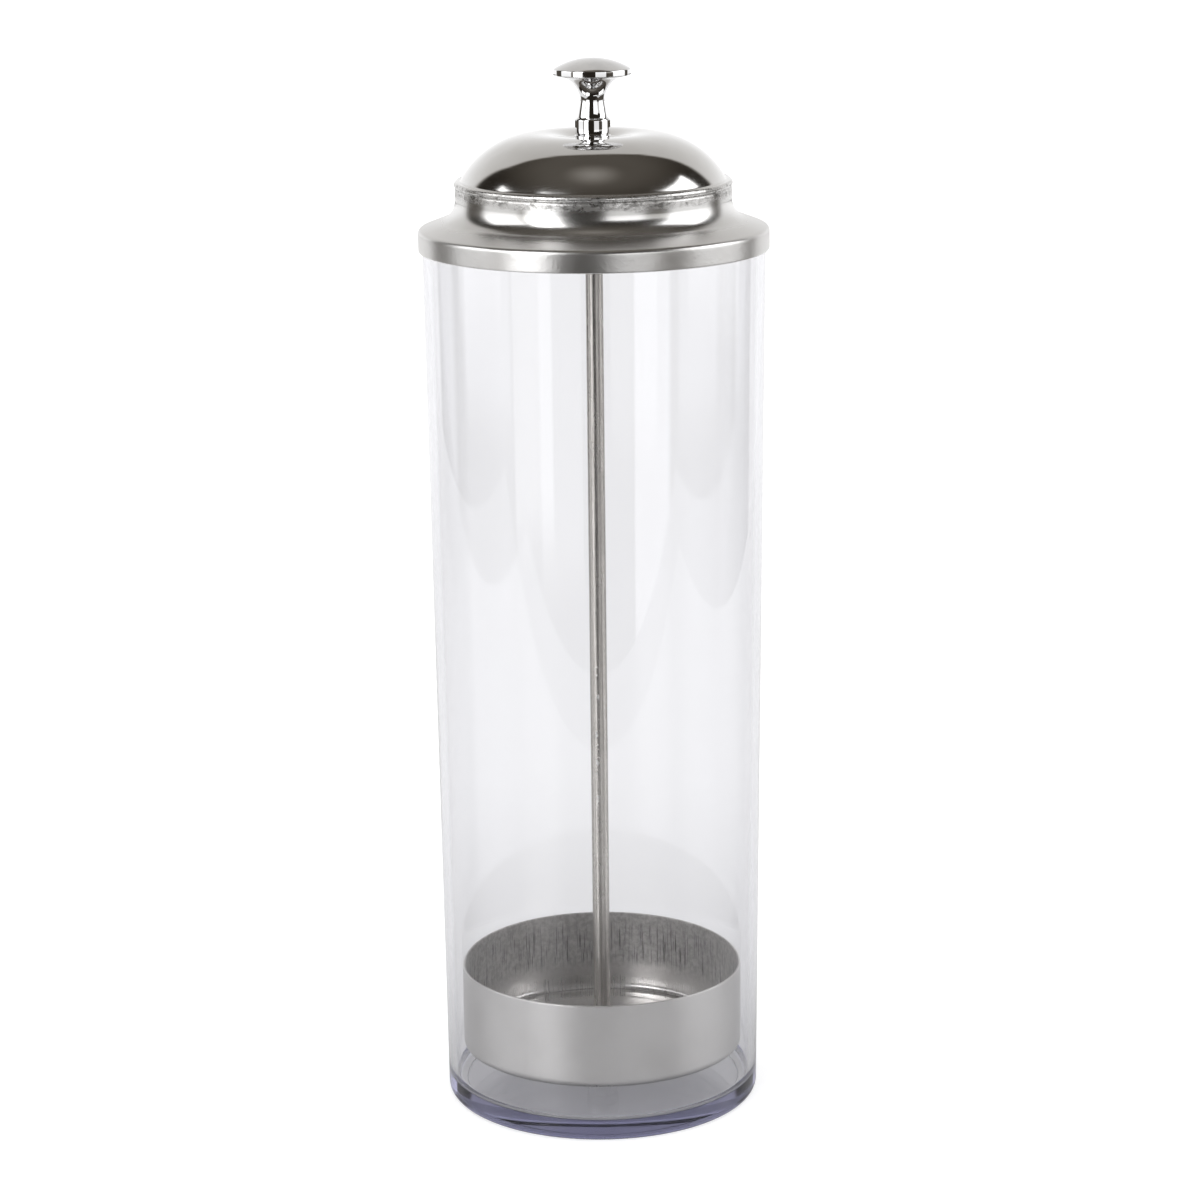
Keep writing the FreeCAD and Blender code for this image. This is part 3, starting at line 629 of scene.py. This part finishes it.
# The glow is stronger for the camera; elsewhere the painted shadow and shade darken it too.
glow = calc(tree, "MULTIPLY_ADD", direct, 0.18, calc(tree, "MULTIPLY", painted_table_shade, 0.27))
tree.links.new(glow, shader.inputs["Emission Strength"])
past = 0.0
for way, edge, beyond in (
        (table_north, -0.415, -0.425), (table_north, 2.09, 2.10),
        (table_east, -0.825, -0.835), (table_east, 0.615, 0.625)):
    past = calc(tree, "MAXIMUM", past, ramp(tree, way, edge, beyond))
gone = calc(tree, "MULTIPLY", mirrored, past)
# Light turned back inside the jar's wall sees the table run on, so the wall's edges stay clear.
entered = calc(tree, "GREATER_THAN", path.outputs["Transmission Depth"], 0.5)
in_wall = calc(tree, "MULTIPLY", one_wall, entered)
gone = calc(tree, "MULTIPLY", gone, calc(tree, "SUBTRACT", 1.0, in_wall))
clear = node(tree, "ShaderNodeBsdfTransparent").outputs[0]
mix = node(tree, "ShaderNodeMixShader", {0: gone, 1: shader.outputs[0], 2: clear})
tree.links.new(mix.outputs[0], output.inputs["Surface"])
table.data.materials.append(material)
table.visible_shadow = False

# ---- studio light -------------------------------------------------------------------------
# A white room for whatever is seen directly or through the jar. In reflections the same room
# shows soft boxes to the left and right, a white wall behind and a dark ceiling and front.

world = bpy.data.worlds.new("studio")
bpy.context.scene.world = world
world.use_nodes = True
tree = world.node_tree
tree.nodes.clear()
direction = node(tree, "ShaderNodeTexCoord").outputs["Generated"]
parts = node(tree, "ShaderNodeSeparateXYZ", {0: direction})
east, north, up = parts.outputs
south = calc(tree, "MULTIPLY", north, -1.0)
degrees = 57.2958  # in one radian
bearing = calc(tree, "MULTIPLY", calc(tree, "ARCTAN2", east, south), degrees)
rise = calc(tree, "MULTIPLY", calc(tree, "ARCSINE", up), degrees)


def panel(left, right, low, high, edge=1.8):
    """A soft-edged light between two bearings and two heights, in degrees, as a mask."""
    mask = ramp(tree, bearing, left - edge, left)
    for way, outside, within in (
            (bearing, right + edge, right), (rise, low - edge, low), (rise, high + edge, high)):
        mask = calc(tree, "MULTIPLY", mask, ramp(tree, way, outside, within))
    return mask


# The soft boxes are dimmer towards their lower edges.
fade = ramp(tree, rise, -8.0, 16.0, 0.5, 1.0)
light = ramp(tree, rise, 30.0, 70.0, 0.02, 0.10)
sides = ramp(tree, calc(tree, "ABSOLUTE", bearing), 25.0, 60.0)
low_sides = calc(tree, "MULTIPLY", sides, ramp(tree, rise, 20.0, 5.0))
light = calc(tree, "MULTIPLY_ADD", low_sides, 0.06, light)
# Each box: left and right bearing, low and high rise, strength.
for left, right, low, high, strength in (
        (-102, -66, -9, 36, 2.0), (-56, -30, -13, 46, 3.8), (-66, -56, -9, 36, 0.3),
        (11, 41, -11.5, 16, 1.8), (41, 66, -1, 13, 0.7), (66, 112, -9, 41, 2.3)):
    lit = calc(tree, "MULTIPLY", panel(left, right, low, high), fade)
    light = calc(tree, "MULTIPLY_ADD", lit, strength, light)

# The wall ends about 50 degrees to each side and has a round top edge and a thin dark skirting.
behind = ramp(tree, north, 0.02, 0.10)
far_side = calc(tree, "DIVIDE", calc(tree, "ABSOLUTE", east), calc(tree, "MAXIMUM", north, 0.01))
wall = calc(tree, "MULTIPLY", behind, ramp(tree, far_side, 1.33, 1.10))
wall_top = calc(tree, "MULTIPLY_ADD", calc(tree, "MAXIMUM", east, 0.0), -0.2, north)
wall = calc(tree, "MULTIPLY", wall, ramp(tree, wall_top, 0.415, 0.475))
skirting = calc(tree, "MULTIPLY", ramp(tree, rise, -6.8, -6.5), ramp(tree, rise, -5.4, -5.7))
wall = calc(tree, "MULTIPLY", wall, calc(tree, "SUBTRACT", 1.0, skirting))
drop = calc(tree, "SUBTRACT", 1.0, calc(tree, "DIVIDE", calc(tree, "MAXIMUM", rise, 0.0), 66.0))
drop = calc(tree, "POWER", calc(tree, "MAXIMUM", drop, 0.0), 1.5)
wall_light = calc(tree, "MULTIPLY_ADD", drop, 0.58, 0.47)
light = calc(tree, "MULTIPLY_ADD", wall, wall_light, light)
lamp = {0: direction, 1: (0, -0.17, 0.985)}
from_lamp = node(tree, "ShaderNodeVectorMath", lamp, operation="DISTANCE").outputs["Value"]
light = calc(tree, "ADD", light, ramp(tree, from_lamp, 0.34, 0.0, 0.0, 0.17))

path = node(tree, "ShaderNodeLightPath")
no_mirror = calc(tree, "LESS_THAN", path.outputs["Glossy Depth"], 0.5)
seen = calc(tree, "MULTIPLY", path.outputs["Is Transmission Ray"], no_mirror)
seen = calc(tree, "MAXIMUM", seen, path.outputs["Is Camera Ray"])
seen = calc(tree, "MAXIMUM", seen, path.outputs["Is Diffuse Ray"])
# What is dark in the room is also warmer.
dark = calc(tree, "MINIMUM", light, 1.0)
green = calc(tree, "MULTIPLY", light, calc(tree, "POWER", dark, 0.05))
blue = calc(tree, "MULTIPLY", light, calc(tree, "POWER", dark, 0.12))
colour = node(tree, "ShaderNodeCombineColor", {0: light, 1: green, 2: blue})
shade = blend(tree, seen, colour.outputs[0], (1, 1, 1, 1))
background = node(tree, "ShaderNodeBackground", {"Color": shade, "Strength": 1.0})
ground = node(tree, "ShaderNodeOutputWorld")
tree.links.new(background.outputs[0], ground.inputs["Surface"])

# ---- camera -------------------------------------------------------------------------------
# A long lens a little above the lid, looking down at the middle of the jar, and the least bit
# out of level.

lens_data = bpy.data.cameras.new("camera")
lens_data.lens = 102.2
lens_data.sensor_width = 36.0
lens_data.shift_x = 0.0019
lens_data.shift_y = -0.0005
camera = bpy.data.objects.new("camera", lens_data)
bpy.context.scene.collection.objects.link(camera)
tilt = np.radians(13.91)
roll = np.radians(-0.617)
right = np.array([1.0, 0, 0])
upward = np.array([0, np.sin(tilt), np.cos(tilt)])
across = right * np.cos(roll) + upward * np.sin(roll)
above = upward * np.cos(roll) - right * np.sin(roll)
placing = np.eye(4)
placing[:3, 0] = across
placing[:3, 1] = above
placing[:3, 2] = np.cross(across, above)
placing[:3, 3] = (0, -0.9658, 0.3897)
camera.matrix_world = Matrix(placing.tolist())
bpy.context.scene.camera = camera
bpy.context.scene.view_settings.view_transform = "Standard"
# Light that runs along inside the thick clear foot is turned back many times before it leaves.
bpy.context.scene.cycles.glossy_bounces = 12
bpy.context.scene.cycles.max_bounces = 24
